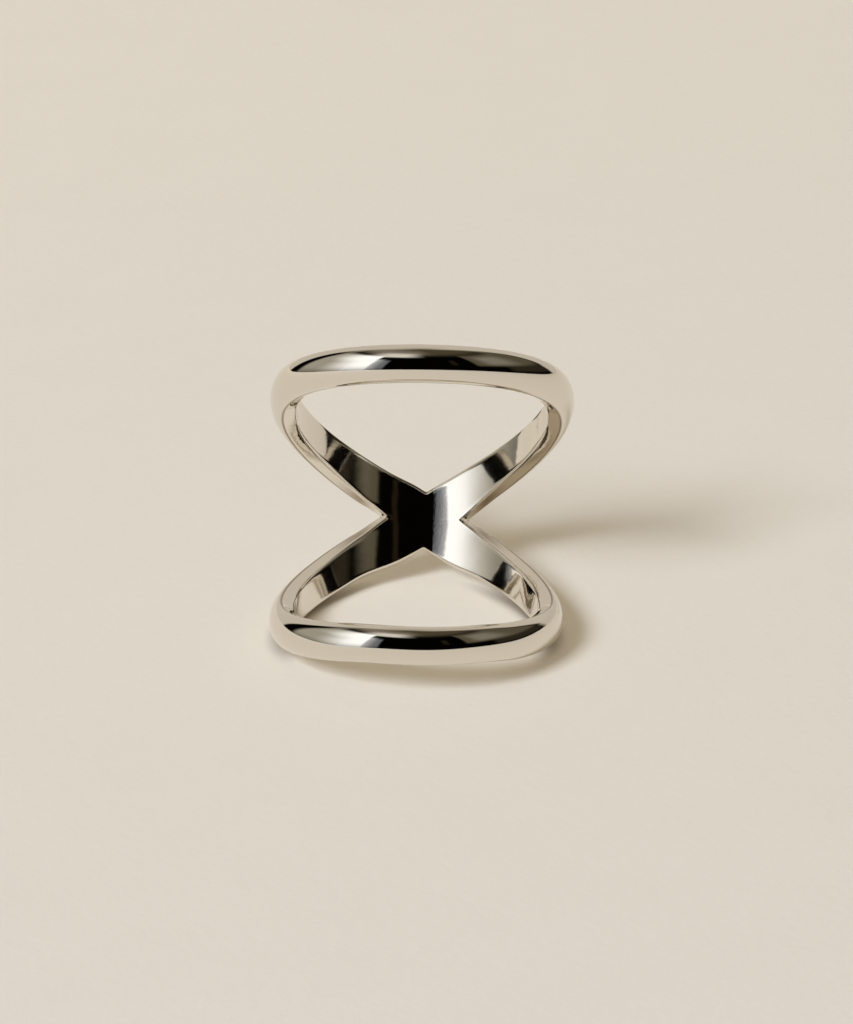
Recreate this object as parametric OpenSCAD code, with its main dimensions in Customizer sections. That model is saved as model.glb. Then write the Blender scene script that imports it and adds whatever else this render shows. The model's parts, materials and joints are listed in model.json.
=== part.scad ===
// Crossover ring: two domed strips cross at the back of the finger, and their
// four arms sweep round the sides into an upper and a lower front arc.
// It is modelled as it rests on a table by itself, leaning back on the two
// sides of its lower loop. Millimetres, +Z up, front towards -Y.

/* [Finger hole] */
// Diameter of the finger hole
finger_d = 14.7; // [13:0.1:20]
// How much longer than wide hand finishing leaves the hole, front to back
hole_stretch = 0.02; // [0.01:0.01:0.1]

/* [Strip] */
// Width of the strip away from the crossing
strip_w = 2.25; // [1.8:0.05:3]
// Width of each strip where the two cross
crossing_w = 2.85; // [1.8:0.05:3.4]
// Angle round the finger over which the strip narrows from the crossing
narrowing_angle = 31; // [15:1:60]
// Thickness from the finger hole to the crown of the dome
wall_t = 1.5; // [1.2:0.05:2]
// Height of the side wall below the dome
side_h = 0.75; // [0.3:0.05:0.9]
// How far the side wall slants in towards the finger
side_slant = 0.2; // [0.1:0.05:0.4]
// Fullness of the dome, from 0.7 for a boxy one to 1.2 for a peaked one
dome_power = 0.9; // [0.7:0.05:1.2]

/* [Loops] */
// Height of each front arc's middle line above or below the crossing
rise = 8.15; // [6:0.05:10]
// How early the arms reach the height of the front arcs
shoulder = 0.05; // [0:0.01:0.1]
// Extra straightness of the arms near the crossing
straightness = 0.01; // [0:0.005:0.02]
// Growth of the outside per millimetre of height, so that the upper loop is the wider one
flare = 0.018; // [0:0.001:0.03]

/* [Rest] */
// How far the finger axis leans back where the ring balances on its lower loop
lean_angle = 26.5; // [15:0.5:35]

/* [Hidden] */

finger_r = finger_d / 2;
arm_steps = 60;  // sections from the crossing to the front of a loop
dome_steps = 12; // flats across the dome
sink = 0.4;      // how far the blank reaches into the finger hole, which then cuts it away
under_slant = side_slant * (1 + sink / side_h);
hole_h = 4 * rise;

// Half the strip's width at angle a round the finger, counted from the crossing
function half_w(a) = (strip_w + (crossing_w - strip_w) * exp(-pow(a / narrowing_angle, 2))) / 2;

// Height of the strip's middle line, and its growth per radian
function height(a) = rise * ((1 + shoulder + straightness) * sin(a / 2)
    + shoulder * sin(1.5 * a) - straightness * sin(2.5 * a));
function climb(a) = rise * ((1 + shoulder + straightness) * cos(a / 2) / 2
    + 1.5 * shoulder * cos(1.5 * a) - 2.5 * straightness * cos(2.5 * a));

// Cross-section of a strip as [across, out]: inner middle, inner edge, dome, inner edge
function section(half) = concat(
    [[0, -sink], [under_slant - half, -sink]],
    [for (k = [0:dome_steps]) let (turn = 180 * k / dome_steps)
        [-half * cos(turn), side_h + (wall_t - side_h) * pow(sin(turn), dome_power)]],
    [[half - under_slant, -sink]]);
edges = len(section(1)); // lengthwise edges of a strip

// Point of lengthwise edge j at angle a as [angle, height, out], laid off square to the strip
function strip_point(a, j) =
    let (q = section(half_w(a))[j], slope = atan2(climb(a), finger_r))
    [a - q[0] * sin(slope) / finger_r * 180 / PI, height(a) + q[0] * cos(slope), q[1]];

// Edges above the middle line start where the arms meet at angle 0, those below it at height 0
function across(j) = section(1)[j][0];
function before_mitre(a, j) = strip_point(a, j)[across(j) > 0 ? 0 : 1] < 0;
function start_angle(j, low = 0, high = 40, tries = 30) =
    across(j) == 0 ? 0
    : tries == 0 ? high
    : let (mid = (low + high) / 2)
        before_mitre(mid, j) ? start_angle(j, mid, high, tries - 1) : start_angle(j, low, mid, tries - 1);

// One edge of the upper right arm, from the mitre at the crossing to the front
function arm_edge(j) =
    let (first = start_angle(j))
    [for (i = [0:arm_steps])
        let (p = strip_point(first + (180 - first) * i / arm_steps, j))
        [i == 0 && across(j) >= 0 ? 0 : p[0], i == 0 && across(j) <= 0 ? 0 : p[1], p[2]]];

// The same point on each of the four arms, side and level being 1 or -1
function place(p, side, level) =
    let (r = finger_r + p[2] + (p[2] > 0 ? flare * level * p[1] : 0))
    [side * r * sin(p[0]), r * cos(p[0]), level * p[1]];

arm = [for (j = [0:edges - 1]) arm_edge(j)];
quarters = [[1, 1], [-1, 1], [-1, -1], [1, -1]];
blank_points = [for (q = quarters) for (line = arm) for (p = line) place(p, q[0], q[1])];

function corner(q, j, i) = (q * edges + j % edges) * (arm_steps + 1) + i;
blank_faces = [for (q = [0:3]) for (j = [0:edges - 1]) for (i = [0:arm_steps - 1])
    let (a = corner(q, j, i), b = corner(q, j, i + 1), c = corner(q, j + 1, i + 1), d = corner(q, j + 1, i))
    for (t = q % 2 == 0 ? [[a, b, c], [a, c, d]] : [[c, b, a], [d, c, a]]) t];

// Where the leaning ring lies, so that its box stands centred on the origin
function lean(p) = [p[0], p[1] * cos(lean_angle) + p[2] * sin(lean_angle),
    p[2] * cos(lean_angle) - p[1] * sin(lean_angle)];
leaning = [for (p = blank_points) lean(p)];
low_z = min([for (p = leaning) p[2]]);
mid_y = (min([for (p = leaning) p[1]]) + max([for (p = leaning) p[1]])) / 2;

module ring_blank() {
    polyhedron(blank_points, blank_faces, convexity = 8);
}

// Two round cuts, one set forward and one back, leave the hole a hair longer than wide
module finger_hole() {
    for (way = [-1, 1])
        translate([0, way * hole_stretch / 2, 0])
            cylinder(h = hole_h, r = finger_r, center = true, $fn = 180);
}

module ring() {
    color("silver")
        translate([0, -mid_y, -low_z])
            rotate([-lean_angle, 0, 0])
                difference() {
                    ring_blank();
                    finger_hole();
                }
}

ring();
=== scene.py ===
import json
import math

import bmesh
import bpy
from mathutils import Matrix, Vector


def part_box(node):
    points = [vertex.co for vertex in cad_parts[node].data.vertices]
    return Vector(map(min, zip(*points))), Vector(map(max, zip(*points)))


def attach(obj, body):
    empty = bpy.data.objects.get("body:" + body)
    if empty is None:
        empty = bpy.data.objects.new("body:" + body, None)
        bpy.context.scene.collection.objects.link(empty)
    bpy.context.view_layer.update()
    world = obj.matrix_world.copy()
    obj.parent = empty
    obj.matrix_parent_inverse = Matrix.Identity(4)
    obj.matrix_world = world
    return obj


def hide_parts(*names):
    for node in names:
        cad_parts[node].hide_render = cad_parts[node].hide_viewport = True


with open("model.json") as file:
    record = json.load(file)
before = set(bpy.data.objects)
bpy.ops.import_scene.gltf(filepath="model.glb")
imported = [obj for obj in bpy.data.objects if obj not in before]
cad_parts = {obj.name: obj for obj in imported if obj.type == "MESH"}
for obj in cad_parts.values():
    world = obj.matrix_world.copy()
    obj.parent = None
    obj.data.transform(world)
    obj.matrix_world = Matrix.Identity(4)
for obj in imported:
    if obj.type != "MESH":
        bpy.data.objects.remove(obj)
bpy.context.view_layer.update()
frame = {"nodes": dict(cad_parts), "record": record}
print("frame loaded, nodes:", ", ".join(frame["nodes"]))

mm = 0.001
tiny = 0.0005    # in millimetres, near enough to be the same place


# Selecting and modifiers, as used all through the modelling

def deselectAll():
    for thing in bpy.context.selected_objects:
        thing.select_set(False)


def pick(kind, wanted):
    # Leaves selected only the vertices, edges or faces for which wanted() is true
    bpy.ops.mesh.select_mode(type=kind)
    bpy.ops.mesh.select_all(action="DESELECT")
    mesh = bpy.context.edit_object.data
    shape = bmesh.from_edit_mesh(mesh)
    for part in {"VERT": shape.verts, "EDGE": shape.edges, "FACE": shape.faces}[kind]:
        if wanted(part):
            part.select_set(True)
    shape.select_flush_mode()
    bmesh.update_edit_mesh(mesh)


def applyModifier(kind, name, **settings):
    modifier = bpy.context.object.modifiers.new(name, kind)
    for key, value in settings.items():
        setattr(modifier, key, value)
    bpy.ops.object.modifier_apply(modifier=name)


# Ring: sizes in millimetres, angles in degrees round the finger from the crossing

ring = {
    "fingerRadius": 7.35,
    "stripWidth": 2.24,
    "crossingWidth": 2.62,
    "narrowing": 50,       # angle over which a strip narrows from the crossing
    "wall": 1.5,
    "sideHeight": 0.75,    # flat side wall below the dome
    "sideSlant": 0.28,     # how far the side wall leans in at the front
    "crossingSlant": 0.05,
    "slantReach": 25,      # angle over which it leans less near the crossing
    "rise": 8.13,          # height of the front arcs above and below the crossing
    "shoulder": 0.055,
    "straightness": 0.006,
    "taper": 0.0028,       # growth of the radius per millimetre up the finger
    "skew": 0.018,         # how far the upper loop has slipped right, per millimetre of height
    "lean": 26.5,          # how far it leans back as it rests
    "domePoints": 72,      # points round the whole circle that the dome is half of
    "innerCuts": 13,
    "sideCuts": 4,
    "innerRound": 0.09,    # rounding of the edges at the finger hole
    "footRound": 0.05,     # rounding where the dome meets the side wall
    "crotchRound": 0.12,
    "pulls": 120,          # extrusions from the front to the crossing
    "lastPull": 22,        # angle from which one straight pull runs through the crossing
    "longEdge": 0.45,
    "crossingCuts": 11,
}


def stripWidth(angle):
    grown = math.exp(-(angle / ring["narrowing"]) ** 2)
    return ring["stripWidth"] + (ring["crossingWidth"] - ring["stripWidth"]) * grown


def innerWidth(angle):
    upright = math.exp(-(angle / ring["slantReach"]) ** 2)
    slant = ring["sideSlant"] + (ring["crossingSlant"] - ring["sideSlant"]) * upright
    return stripWidth(angle) - 2 * slant


def stripHeight(angle):
    a = math.radians(angle)
    shoulder, straight = ring["shoulder"], ring["straightness"]
    waves = (1 + shoulder + straight) * math.sin(a / 2) + shoulder * math.sin(1.5 * a)
    return ring["rise"] * (waves - straight * math.sin(2.5 * a))


def stripPoint(angle):
    # Middle line of the strip, rolled out flat: x along the finger's round, z up the finger
    return Vector((ring["fingerRadius"] * math.radians(angle), 0, stripHeight(angle)))


def stripSlope(angle):
    ahead = stripPoint(angle + 0.01) - stripPoint(angle - 0.01)
    return math.atan2(ahead.z, ahead.x)


def addSection():
    # D-shaped section at the front of the arm, from a circle whose lower half goes
    half, side = ring["stripWidth"] / 2, ring["sideHeight"]
    front = stripPoint(180)
    bpy.ops.mesh.primitive_circle_add(vertices=ring["domePoints"], radius=1, fill_type="NOTHING",
                                      rotation=(0, math.radians(90), 0))
    bpy.ops.object.transform_apply(rotation=True)
    bpy.ops.object.mode_set(mode="EDIT")
    pick("VERT", lambda v: v.co.y < -tiny)
    bpy.ops.mesh.delete(type="VERT")
    bpy.ops.mesh.select_all(action="SELECT")
    bpy.ops.transform.resize(value=(1, ring["wall"] - side, half), center_override=(0, 0, 0))
    bpy.ops.transform.translate(value=front + Vector((0, side, 0)))

    # Side walls down to the finger hole, slanting in, and the inside between them
    pick("VERT", lambda v: v.co.y < side + tiny)
    bpy.ops.mesh.extrude_vertices_move(TRANSFORM_OT_translate={"value": (0, -side, 0)})
    bpy.ops.transform.resize(value=(1, 1, innerWidth(180) / stripWidth(180)), center_override=front)
    bpy.ops.mesh.edge_face_add()
    pick("VERT", lambda v: abs(v.co.y - side) < tiny)
    bpy.ops.mesh.bevel(offset=ring["footRound"], segments=3, affect="VERTICES")
    pick("VERT", lambda v: v.co.y < tiny)
    bpy.ops.mesh.bevel(offset=ring["innerRound"], segments=4, affect="VERTICES")
    pick("EDGE", lambda e: max(v.co.y for v in e.verts) < tiny)
    bpy.ops.mesh.subdivide(number_cuts=ring["innerCuts"])

    # The dome is a group of its own, so that the inside can be widened without it
    pick("VERT", lambda v: v.co.y > side / 2)
    bpy.ops.object.vertex_group_assign_new()


def widen(centre, outer, inner):
    # The whole section grows by outer, then the inside alone until it has grown by inner
    bpy.ops.mesh.hide(unselected=True)
    bpy.ops.transform.resize(value=(outer, 1, outer), center_override=centre)
    bpy.ops.object.vertex_group_deselect()
    bpy.ops.transform.resize(value=(inner / outer, 1, inner / outer), center_override=centre)
    bpy.ops.object.vertex_group_select()


def climb(edge):
    return abs(edge.verts[0].co.y - edge.verts[1].co.y)


def pullArm():
    # The section is pulled along the strip to near the crossing, turning and widening as it goes
    bpy.ops.mesh.select_mode(type="VERT")
    bpy.ops.mesh.select_all(action="SELECT")
    step = (180 - ring["lastPull"]) / ring["pulls"]
    for i in range(ring["pulls"]):
        before, after = 180 - i * step, 180 - (i + 1) * step
        old, new = stripPoint(before), stripPoint(after)
        bpy.ops.mesh.extrude_region_move(TRANSFORM_OT_translate={"value": new - old})
        bpy.ops.transform.rotate(value=stripSlope(after) - stripSlope(before), orient_axis="Y",
                                 center_override=new)
        widen(new, stripWidth(after) / stripWidth(before), innerWidth(after) / innerWidth(before))

    # One straight pull goes through the crossing and as far past it
    last = ring["lastPull"]
    end = stripPoint(last)
    bpy.ops.mesh.extrude_region_move(TRANSFORM_OT_translate={"value": -2 * end})
    widen(-end, 2 * stripWidth(0) / stripWidth(last) - 1, 2 * innerWidth(0) / innerWidth(last) - 1)
    bpy.ops.mesh.reveal(select=False)

    # The planes where the four arms meet cut it off
    for normal in ((1, 0, 0), (0, 0, 1)):
        bpy.ops.mesh.select_all(action="SELECT")
        bpy.ops.mesh.bisect(plane_co=(0, 0, 0), plane_no=normal, clear_inner=True, threshold=0.00001)

    # Cuts along the flat side walls
    pick("EDGE", lambda e: climb(e) > ring["sideHeight"] / 2)
    bpy.ops.mesh.subdivide(number_cuts=ring["sideCuts"])


def onPlane(edge, axis):
    return all(abs(v.co[axis]) < tiny for v in edge.verts)


def joinArms(piece):
    bpy.ops.object.mode_set(mode="OBJECT")
    piece.vertex_groups.clear()
    applyModifier("MIRROR", "fourArms", use_axis=(True, False, True), merge_threshold=4 * tiny)
    bpy.ops.object.mode_set(mode="EDIT")
    bpy.ops.mesh.select_all(action="SELECT")
    bpy.ops.mesh.normals_make_consistent(inside=False)

    # The corners between the arms are rounded
    near = ring["fingerRadius"]
    pick("EDGE", lambda e: onPlane(e, 0) or (onPlane(e, 2) and abs(e.verts[0].co.x) < near))
    bpy.ops.mesh.bevel(offset=ring["crotchRound"], segments=4, affect="EDGES", offset_type="ABSOLUTE")

    # Only the straight pull has edges as long as this
    pick("EDGE", lambda e: e.calc_length() > ring["longEdge"] and climb(e) < tiny)
    bpy.ops.mesh.subdivide(number_cuts=ring["crossingCuts"])
    bpy.ops.object.mode_set(mode="OBJECT")


def bendRound(piece):
    # The flat shape is bent round the finger, welded at the front and tapered
    applyModifier("SIMPLE_DEFORM", "roundFinger", deform_method="BEND", deform_axis="Z",
                  angle=-2 * math.pi)
    bpy.ops.object.mode_set(mode="EDIT")
    bpy.ops.mesh.select_all(action="SELECT")
    bpy.ops.mesh.remove_doubles(threshold=8 * tiny)
    bpy.ops.transform.translate(value=(0, ring["fingerRadius"], 0))
    bpy.ops.mesh.normals_make_consistent(inside=False)
    bpy.ops.object.mode_set(mode="OBJECT")
    tall = piece.dimensions.z
    applyModifier("SIMPLE_DEFORM", "widerUp", deform_method="TAPER", deform_axis="Z",
                  factor=ring["taper"] * tall)


# Unevenness of hand work: where on the upright ring, what is done to it, how far that reaches

lowerRoll = {"place": (0.6, -7.9, -8.1), "degrees": -6.5, "reach": 4.6}

handWork = [
    {"place": (0, 8.1, 0.1), "push": (0.07, 0, -0.04), "reach": 4.5},
    {"place": (0, 8, 1.4), "push": (0.12, 0, 0.10), "reach": 2.2},
    {"place": (2.1, 7.8, 0), "push": (0.11, 0, -0.02), "reach": 2.2},
    {"place": (0, 8, -2.4), "push": (0.03, 0, -0.33), "reach": 3.6},
    {"place": (-2.1, 7.8, 0), "push": (-0.03, 0, 0.14), "reach": 1.8},
    {"place": (6.9, -4.5, -9.3), "push": (-0.12, 0, 0.10), "reach": 4.5},
    {"place": (4.2, -7.6, -8.1), "push": (0, 0, -0.10), "reach": 6},
]


def pickAround(spot):
    place = Vector(spot["place"])
    pick("VERT", lambda v: (v.co - place).length < spot["reach"] / 3)


def unevenByHand():
    bpy.ops.object.mode_set(mode="EDIT")
    bpy.ops.mesh.select_all(action="SELECT")

    # Skewed sideways: an eighth turn, a stretch, and not quite all the way back
    skew, middle = ring["skew"], (0, 0, 0)
    eighth = math.radians(45)
    bpy.ops.transform.rotate(value=-eighth, orient_axis="Y", center_override=middle)
    bpy.ops.transform.resize(value=(1 + skew / 2, 1, 1 - skew / 2), center_override=middle)
    bpy.ops.transform.rotate(value=eighth - skew / 2, orient_axis="Y", center_override=middle)

    # The lower front arc is rolled a little about its own middle line
    pickAround(lowerRoll)
    bpy.ops.transform.rotate(value=math.radians(lowerRoll["degrees"]), orient_axis="X",
                             center_override=lowerRoll["place"],
                             use_proportional_edit=True, proportional_size=lowerRoll["reach"])

    for spot in handWork:
        pickAround(spot)
        bpy.ops.transform.translate(value=spot["push"],
                                    use_proportional_edit=True, proportional_size=spot["reach"])
    bpy.ops.object.mode_set(mode="OBJECT")


def restOnTable(piece):
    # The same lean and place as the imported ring, and where its middle has gone
    low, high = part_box("ring")
    piece.rotation_euler.x = -math.radians(ring["lean"])
    piece.scale = (mm, mm, mm)
    bpy.ops.object.transform_apply(location=True, rotation=True, scale=True)
    ends = [v.co for v in piece.data.vertices]
    lowest = min(p.z for p in ends)
    middle = (min(p.y for p in ends) + max(p.y for p in ends)) / 2
    rest = Vector((0, (low.y + high.y) / 2 - middle, low.z - lowest))
    piece.location = rest
    bpy.ops.object.transform_apply(location=True)
    return rest


def makeRing():
    deselectAll()
    addSection()
    piece = bpy.context.object
    piece.name = "silver_ring"
    pullArm()
    joinArms(piece)
    bendRound(piece)
    unevenByHand()
    middle = restOnTable(piece)
    bpy.ops.object.shade_smooth_by_angle(angle=math.radians(40))
    print("ring modelled:", len(piece.data.vertices), "points")
    return piece, middle


silverRing, ringMiddle = makeRing()


# Node helpers, shared by the materials and the room: an input is a number, a vector or a socket

def feed(links, socket, value):
    if isinstance(value, bpy.types.NodeSocket):
        links.new(value, socket)
    else:
        socket.default_value = value


def calc(tree, operation, *values):
    node = tree.nodes.new("ShaderNodeMath")
    node.operation = operation
    for socket, value in zip(node.inputs, values):
        feed(tree.links, socket, value)
    return node.outputs[0]


def vectorCalc(tree, operation, *values):
    node = tree.nodes.new("ShaderNodeVectorMath")
    node.operation = operation
    for socket, value in zip(node.inputs, values):
        feed(tree.links, socket, value)
    return node.outputs["Value" if operation == "DOT_PRODUCT" else "Vector"]


def fade(tree, value, start, end):
    # Smoothly from 0 at start to 1 at end
    node = tree.nodes.new("ShaderNodeMapRange")
    node.interpolation_type = "SMOOTHSTEP"
    feed(tree.links, node.inputs["Value"], value)
    node.inputs["From Min"].default_value = min(start, end)
    node.inputs["From Max"].default_value = max(start, end)
    return node.outputs["Result"] if end > start else calc(tree, "SUBTRACT", 1, node.outputs["Result"])


def mixColour(tree, factor, under, over):
    node = tree.nodes.new("ShaderNodeMix")
    node.data_type = "RGBA"
    feed(tree.links, node.inputs[0], factor)
    feed(tree.links, node.inputs[6], under)
    feed(tree.links, node.inputs[7], over)
    return node.outputs[2]


def noise(tree, vector, scale, detail=2, roughness=0.5):
    # Noise from -1 to 1
    node = tree.nodes.new("ShaderNodeTexNoise")
    feed(tree.links, node.inputs["Vector"], vector)
    node.inputs["Scale"].default_value = scale
    node.inputs["Detail"].default_value = detail
    node.inputs["Roughness"].default_value = roughness
    return calc(tree, "MULTIPLY_ADD", node.outputs["Fac"], 2, -1)


def newMaterial(name):
    material = bpy.data.materials.new(name)
    material.use_nodes = True
    return material, material.node_tree, material.node_tree.nodes["Principled BSDF"]


# Silver: lengths in millimetres, slopes as rise over run

silver = {
    "colour": (0.82, 0.775, 0.70, 1),
    "paintedFootShade": (0.36, 0.29, 0.21, 1),   # painted shade: a dark line in the crease at the foot of the dome
    "roughness": 0.03,
    "insideRoughness": 0.07,
    "wave": 0.0012,            # height of the polishing waves
    "waveScale": 0.35,
    "sideWave": 0.0022,        # and of the unevenness of the side walls
    "sideWaveScale": 1.6,
    "insideWave": 0.0022,      # the inside is filed by hand and less even
    "insideWaveScale": 1.1,
    "ripple": 0.0006,          # and more so round the sides, most of all at the lower right
    "rightRipple": 0.0005,
    "rippleScale": 2.6,
    "filed": 0.0003,           # height of the file marks there
    "filedScale": (2.2, 8, 1),
    "brushed": 0.00012,        # height of the fine strokes round the inside
    "brushedScale": (0.35, 22, 1),
    "seamAt": 0.62,            # right of the crossing's middle the inside turns by a slight angle
    "seamSlope": 0.125,
    "seamEnd": 5.6,
    "seamEase": 2.5,           # how gently it levels off there
    "pits": 0.0016,            # height of the small pits beside that seam
    "pitScale": 5,
}

# Where on the ring the marks lie: from where they fade in, and where they are full
fullFrom = {
    "inside": (-0.75, -0.95),    # by how far a face looks outward, from -1 to 1
    "sideWall": ((-0.95, -0.75), (0.25, 0)),
    "paintedFootShade": ((-0.34, -0.2), (0.28, 0.08)),
    "paintedFootShadeAside": (2.6, 4),   # left or right of the crossing's middle
    "ripple": (3.6, 5),
    "rightRipple": (3.2, 4.4),
    "rightRippleUp": (-3, -4),
    "seamBack": (1, 4),
    "pits": ((0.62, 0.72), (1.6, 1.3)),
}


def uprightCoordinates(tree, vector, isPlace):
    # Turns a place or a direction back to the ring standing upright, in millimetres
    if isPlace:
        vector = vectorCalc(tree, "SUBTRACT", vector, ringMiddle)
        vector = vectorCalc(tree, "MULTIPLY", vector, (1 / mm, 1 / mm, 1 / mm))
    turn = tree.nodes.new("ShaderNodeVectorRotate")
    turn.rotation_type = "X_AXIS"
    turn.inputs["Angle"].default_value = math.radians(ring["lean"])
    tree.links.new(vector, turn.inputs["Vector"])
    return turn.outputs["Vector"]


def between(tree, value, below, above):
    return calc(tree, "MULTIPLY", fade(tree, value, *below), fade(tree, value, *above))


def makeSilver():
    material, tree, shader = newMaterial("polished_silver")
    shader.inputs["Metallic"].default_value = 1

    coordinates = tree.nodes.new("ShaderNodeTexCoord")
    place = uprightCoordinates(tree, coordinates.outputs["Object"], True)
    facing = uprightCoordinates(tree, coordinates.outputs["Normal"], False)
    outward = vectorCalc(tree, "NORMALIZE", vectorCalc(tree, "MULTIPLY", place, (1, 1, 0)))
    outwardness = vectorCalc(tree, "DOT_PRODUCT", facing, outward)
    inside = fade(tree, outwardness, *fullFrom["inside"])
    sideWall = between(tree, outwardness, *fullFrom["sideWall"])
    split = tree.nodes.new("ShaderNodeSeparateXYZ")
    tree.links.new(place, split.inputs[0])
    x, y, z = split.outputs
    aside = calc(tree, "ABSOLUTE", x)

    # Painted shade: a dark line in the crease where the dome meets the side wall of the arms
    line = between(tree, outwardness, *fullFrom["paintedFootShade"])
    line = calc(tree, "MULTIPLY", line, fade(tree, aside, *fullFrom["paintedFootShadeAside"]))
    colour = mixColour(tree, line, silver["colour"], silver["paintedFootShade"])
    tree.links.new(colour, shader.inputs["Base Color"])

    # Slight angle of the inside right of the crossing's middle, which levels off towards the side
    beyond = calc(tree, "MAXIMUM", calc(tree, "SUBTRACT", x, silver["seamAt"]), 0)
    beyond = calc(tree, "SMOOTH_MIN", beyond, silver["seamEnd"] - silver["seamAt"], silver["seamEase"])
    insideHeight = calc(tree, "MULTIPLY", beyond, silver["seamSlope"])
    insideHeight = calc(tree, "MULTIPLY", insideHeight, fade(tree, y, *fullFrom["seamBack"]))

    # Marks of the inside, on its surface rolled out flat
    around = calc(tree, "MULTIPLY", calc(tree, "ARCTAN2", x, y), ring["fingerRadius"])
    join = tree.nodes.new("ShaderNodeCombineXYZ")
    tree.links.new(around, join.inputs[0])
    tree.links.new(z, join.inputs[1])
    rolled = join.outputs[0]
    fileMarks = vectorCalc(tree, "MULTIPLY", rolled, silver["filedScale"])
    strokes = vectorCalc(tree, "MULTIPLY", rolled, silver["brushedScale"])
    low = fade(tree, z, *fullFrom["rightRippleUp"])
    sides = fade(tree, aside, *fullFrom["ripple"])
    lowerRight = calc(tree, "MULTIPLY", fade(tree, x, *fullFrom["rightRipple"]), low)
    besideSeam = between(tree, x, *fullFrom["pits"])
    for depth, pattern, where in (
            (silver["insideWave"], noise(tree, rolled, silver["insideWaveScale"], 1), 1),
            (silver["ripple"], noise(tree, rolled, silver["rippleScale"], 2), sides),
            (silver["rightRipple"], noise(tree, rolled, silver["rippleScale"], 2), lowerRight),
            (silver["filed"], noise(tree, fileMarks, 1, 2), sides),
            (silver["brushed"], noise(tree, strokes, 1, 3, 0.6), 1),
            (silver["pits"], noise(tree, rolled, silver["pitScale"], 3), besideSeam)):
        depth = calc(tree, "MULTIPLY", where, depth)
        insideHeight = calc(tree, "MULTIPLY_ADD", pattern, depth, insideHeight)

    # Polishing waves of the dome and the side walls
    waves = noise(tree, place, silver["waveScale"], 1)
    sideWaves = noise(tree, place, silver["sideWaveScale"], 1)
    sideHeight = calc(tree, "MULTIPLY", calc(tree, "MULTIPLY", sideWaves, silver["sideWave"]), sideWall)
    outsideHeight = calc(tree, "MULTIPLY_ADD", waves, silver["wave"], sideHeight)

    height = tree.nodes.new("ShaderNodeMix")
    tree.links.new(inside, height.inputs[0])
    tree.links.new(outsideHeight, height.inputs[2])
    tree.links.new(insideHeight, height.inputs[3])
    bump = tree.nodes.new("ShaderNodeBump")
    bump.inputs["Distance"].default_value = mm
    tree.links.new(height.outputs[0], bump.inputs["Height"])
    tree.links.new(bump.outputs["Normal"], shader.inputs["Normal"])

    rough = tree.nodes.new("ShaderNodeMapRange")
    rough.inputs["To Min"].default_value = silver["roughness"]
    rough.inputs["To Max"].default_value = silver["insideRoughness"]
    tree.links.new(inside, rough.inputs["Value"])
    tree.links.new(rough.outputs[0], shader.inputs["Roughness"])
    return material


silverRing.data.materials.append(makeSilver())
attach(silverRing, "root")
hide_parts("ring")


# Table

table = {
    "size": 1.2,
    "colour": (0.715, 0.680, 0.613, 1),
    "darker": (0.690, 0.655, 0.588, 1),   # where the paper is mottled
    "mottleScale": 160,
    "roughness": 0.9,
    "grain": 0.000014,
    "grainScale": 1400,
    "shade": (0.16, 0.135, 0.10, 1),      # where hardly any light gets in, close to the ring
    "shadeReach": 1.0,     # in millimetres
    "shadeFrom": 0.95,     # openness below which it shows
}


def makeTable():
    deselectAll()
    bpy.ops.mesh.primitive_plane_add(size=table["size"])
    top = bpy.context.object
    top.name = "table_top"
    material, tree, shader = newMaterial("pale_paper")
    shader.inputs["Roughness"].default_value = table["roughness"]
    place = tree.nodes.new("ShaderNodeTexCoord").outputs["Object"]
    mottle = calc(tree, "MULTIPLY_ADD", noise(tree, place, table["mottleScale"], 4, 0.65), 0.5, 0.5)
    paper = mixColour(tree, mottle, table["colour"], table["darker"])

    openness = tree.nodes.new("ShaderNodeAmbientOcclusion")
    openness.samples = 12
    openness.inputs["Distance"].default_value = table["shadeReach"] * mm
    lit = fade(tree, openness.outputs["AO"], 0, table["shadeFrom"])
    tree.links.new(mixColour(tree, lit, table["shade"], paper), shader.inputs["Base Color"])

    bump = tree.nodes.new("ShaderNodeBump")
    bump.inputs["Distance"].default_value = table["grain"]
    tree.links.new(noise(tree, place, table["grainScale"], 5, 0.6), bump.inputs["Height"])
    tree.links.new(bump.outputs["Normal"], shader.inputs["Normal"])
    top.data.materials.append(material)


makeTable()
print("table laid")


# Light: a lamp throws the shadows, an even fill lifts them, and the room is there to be mirrored

cool = (0.828, 0.888, 1)
warm = (1, 0.858, 0.646)
lamps = [
    {"name": "key_lamp", "azimuth": 38, "elevation": 37.5, "distance": 2.5, "size": 0.76,
     "colour": cool, "power": 65.5, "shadow": True},
    {"name": "sky_lamp", "azimuth": 0, "elevation": 90, "distance": 1.5, "size": 2.2,
     "colour": warm, "power": 6.2, "shadow": True},
    {"name": "fill_lamp", "azimuth": 150, "elevation": 35, "distance": 2, "size": 0.5,
     "colour": warm, "power": 23.5, "shadow": False},
]


def directionOf(azimuth, elevation):
    # Azimuth is counted from the camera's side towards the left, both in degrees
    a, e = math.radians(azimuth), math.radians(elevation)
    return Vector((-math.sin(a) * math.cos(e), -math.cos(a) * math.cos(e), math.sin(e)))


def addLamp(settings):
    deselectAll()
    aim = directionOf(settings["azimuth"], settings["elevation"])
    bpy.ops.object.light_add(type="AREA", location=aim * settings["distance"])
    lamp = bpy.context.object
    lamp.name = settings["name"]
    lamp.rotation_euler = aim.to_track_quat("Z", "Y").to_euler()
    lamp.data.size = settings["size"]
    lamp.data.energy = settings["power"]
    lamp.data.color = settings["colour"]
    lamp.data.use_shadow = settings["shadow"]
    lamp.visible_glossy = False


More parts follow.
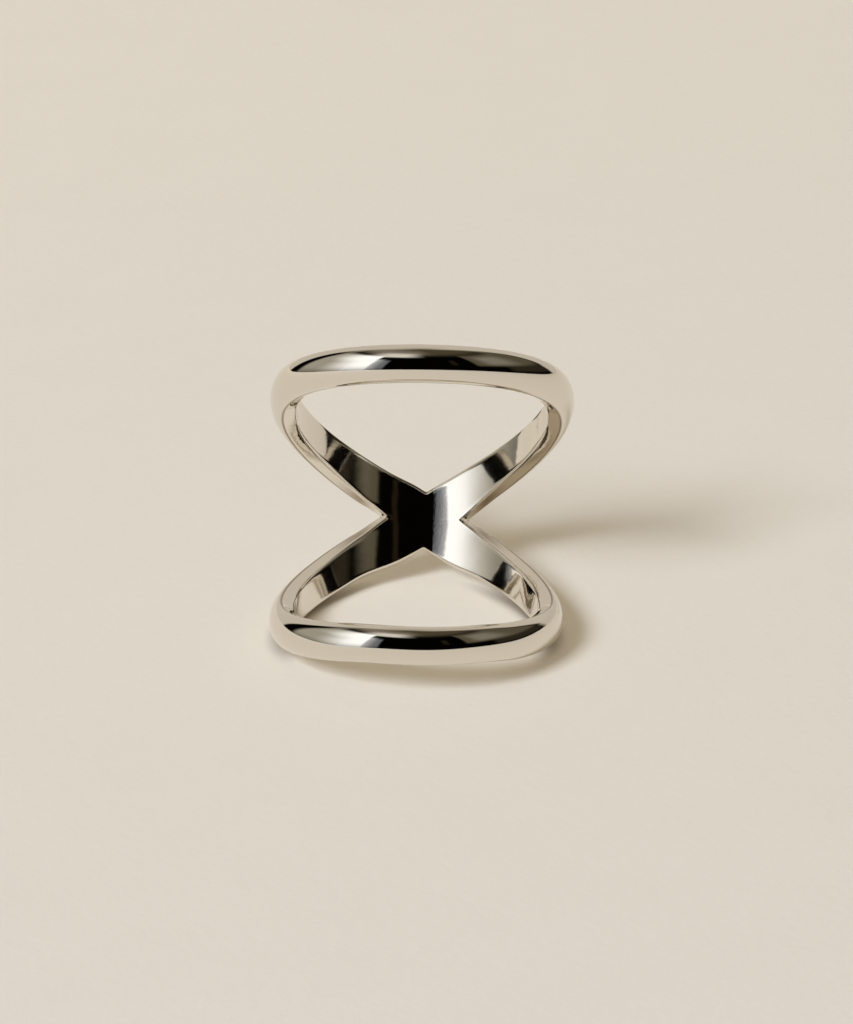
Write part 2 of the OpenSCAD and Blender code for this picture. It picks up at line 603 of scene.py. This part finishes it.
# The room that the silver mirrors, painted patch over patch by direction. Edges of a patch in
# degrees: right and left round the room, bottom and top up the walls, each with how softly it
# fades. The table hides what is below the horizon.
roomDark = (0.0012, 0.0010, 0.0008, 1)
roomPatches = [
    {"name": "ceiling", "edges": (-180, 180, 59, 200), "soft": (1, 1, 22, 1),
     "colour": (0.075, 0.061, 0.037)},
    {"name": "ceilingLeft", "edges": (0, 118, 60, 80), "soft": (50, 30, 14, 22),
     "colour": (0.22, 0.19, 0.15)},
    {"name": "backWallTop", "edges": (118, 238, 45, 80), "soft": (30, 30, 16, 20),
     "colour": (0.39, 0.35, 0.28)},
    {"name": "backWall", "edges": (130, 228, -5, 72), "soft": (4, 7, 1, 24),
     "colour": (0.60, 0.55, 0.47)},
    {"name": "backWallLow", "edges": (190, 232, -5, 12), "soft": (5, 8, 1, 6),
     "colour": (0.57, 0.52, 0.45)},
    {"name": "tail", "edges": (8, 60, 48.3, 65), "soft": (30, 40, 7, 14),
     "colour": (0.74, 0.70, 0.65)},
    {"name": "boxWing", "edges": (60, 113, 0, 48), "soft": (4, 8, 24, 10),
     "colour": (0.38, 0.36, 0.30)},
    {"name": "boxEdge", "edges": (28, 62, 0, 34), "soft": (3, 4, 24, 8),
     "colour": (0.16, 0.17, 0.19)},
    {"name": "boxRamp", "edges": (36, 62, 0, 38), "soft": (11, 4, 24, 8),
     "colour": (0.49, 0.51, 0.55)},
    {"name": "boxLow", "edges": (41, 69, 5, 36), "soft": (3, 47, 28, 14),
     "colour": (1.30, 1.32, 1.35)},
    {"name": "boxHigh", "edges": (43, 82, 32, 50), "soft": (4, 57, 14, 8),
     "colour": (1.36, 1.38, 1.40)},
    {"name": "rightLow", "edges": (-126, -74, 3, 20), "soft": (14, 10, 6, 10),
     "colour": (0.026, 0.021, 0.014)},
    {"name": "rightWall", "edges": (-127, -46, 17, 54), "soft": (8, 5, 9, 10),
     "colour": (0.100, 0.086, 0.057)},
    {"name": "rightGlow", "edges": (-92, -58, 21, 46), "soft": (30, 16, 12, 14),
     "colour": (0.22, 0.20, 0.16)},
    {"name": "farLight", "edges": (-30, -25, 19, 36), "soft": (3, 3, 8, 6),
     "colour": (0.016, 0.011, 0.006)},
]


def aroundTo(tree, way, azimuth):
    # Degrees left of that azimuth
    ahead = vectorCalc(tree, "DOT_PRODUCT", way, directionOf(azimuth, 0))
    aside = vectorCalc(tree, "DOT_PRODUCT", way, directionOf(azimuth + 90, 0))
    return calc(tree, "DEGREES", calc(tree, "ARCTAN2", aside, ahead))


def onlyWithin(tree, mask, value, low, high, softLow, softHigh):
    mask = calc(tree, "MULTIPLY", mask, fade(tree, value, low - softLow / 2, low + softLow / 2))
    return calc(tree, "MULTIPLY", mask, fade(tree, value, high + softHigh / 2, high - softHigh / 2))


def paintRoom():
    world = bpy.data.worlds.new("studio")
    bpy.context.scene.world = world
    world.use_nodes = True
    world.cycles_visibility.diffuse = False
    tree = world.node_tree
    way = tree.nodes.new("ShaderNodeTexCoord").outputs["Generated"]
    split = tree.nodes.new("ShaderNodeSeparateXYZ")
    tree.links.new(way, split.inputs[0])
    up = calc(tree, "DEGREES", calc(tree, "ARCSINE", split.outputs["Z"]))
    colour = roomDark
    for patch in roomPatches:
        right, left, bottom, top = patch["edges"]
        softRight, softLeft, softBottom, softTop = patch["soft"]
        mask = onlyWithin(tree, 1, up, bottom, top, softBottom, softTop)
        if left - right < 360:
            middle, half = (right + left) / 2, (left - right) / 2
            around = aroundTo(tree, way, middle)
            mask = onlyWithin(tree, mask, around, -half, half, softRight, softLeft)
        colour = mixColour(tree, mask, colour, (*patch["colour"], 1))
    tree.links.new(colour, tree.nodes["Background"].inputs["Color"])


for settings in lamps:
    addLamp(settings)
paintRoom()
bpy.context.scene.view_settings.view_transform = "Standard"
print("lit by", len(lamps), "lamps and", len(roomPatches), "patches of the room")


# Camera

camera = {
    "distance": 0.350,     # from the middle of the finger hole
    "azimuth": -1.67,
    "elevation": 23.5,
    "roll": -0.15,
    "lens": 207.8,
    "right": 0.432,        # how far right of that middle it aims, in millimetres
}


def addCamera():
    deselectAll()
    middle = Vector(frame["record"]["mounts"][0]["pos_m"])
    back = directionOf(camera["azimuth"], camera["elevation"])
    bpy.ops.object.camera_add()
    eye = bpy.context.object
    eye.name = "camera"
    turn = back.to_track_quat("Z", "Y")
    shift = turn @ Vector((camera["right"], 0, 0)) * mm
    eye.location = middle + shift + back * camera["distance"]
    eye.rotation_euler = turn.to_euler()
    eye.rotation_euler.rotate_axis("Z", math.radians(camera["roll"]))
    eye.data.lens = camera["lens"]
    eye.data.clip_start = 0.01
    eye.data.clip_end = 10
    bpy.context.scene.camera = eye


addCamera()
print("camera set")
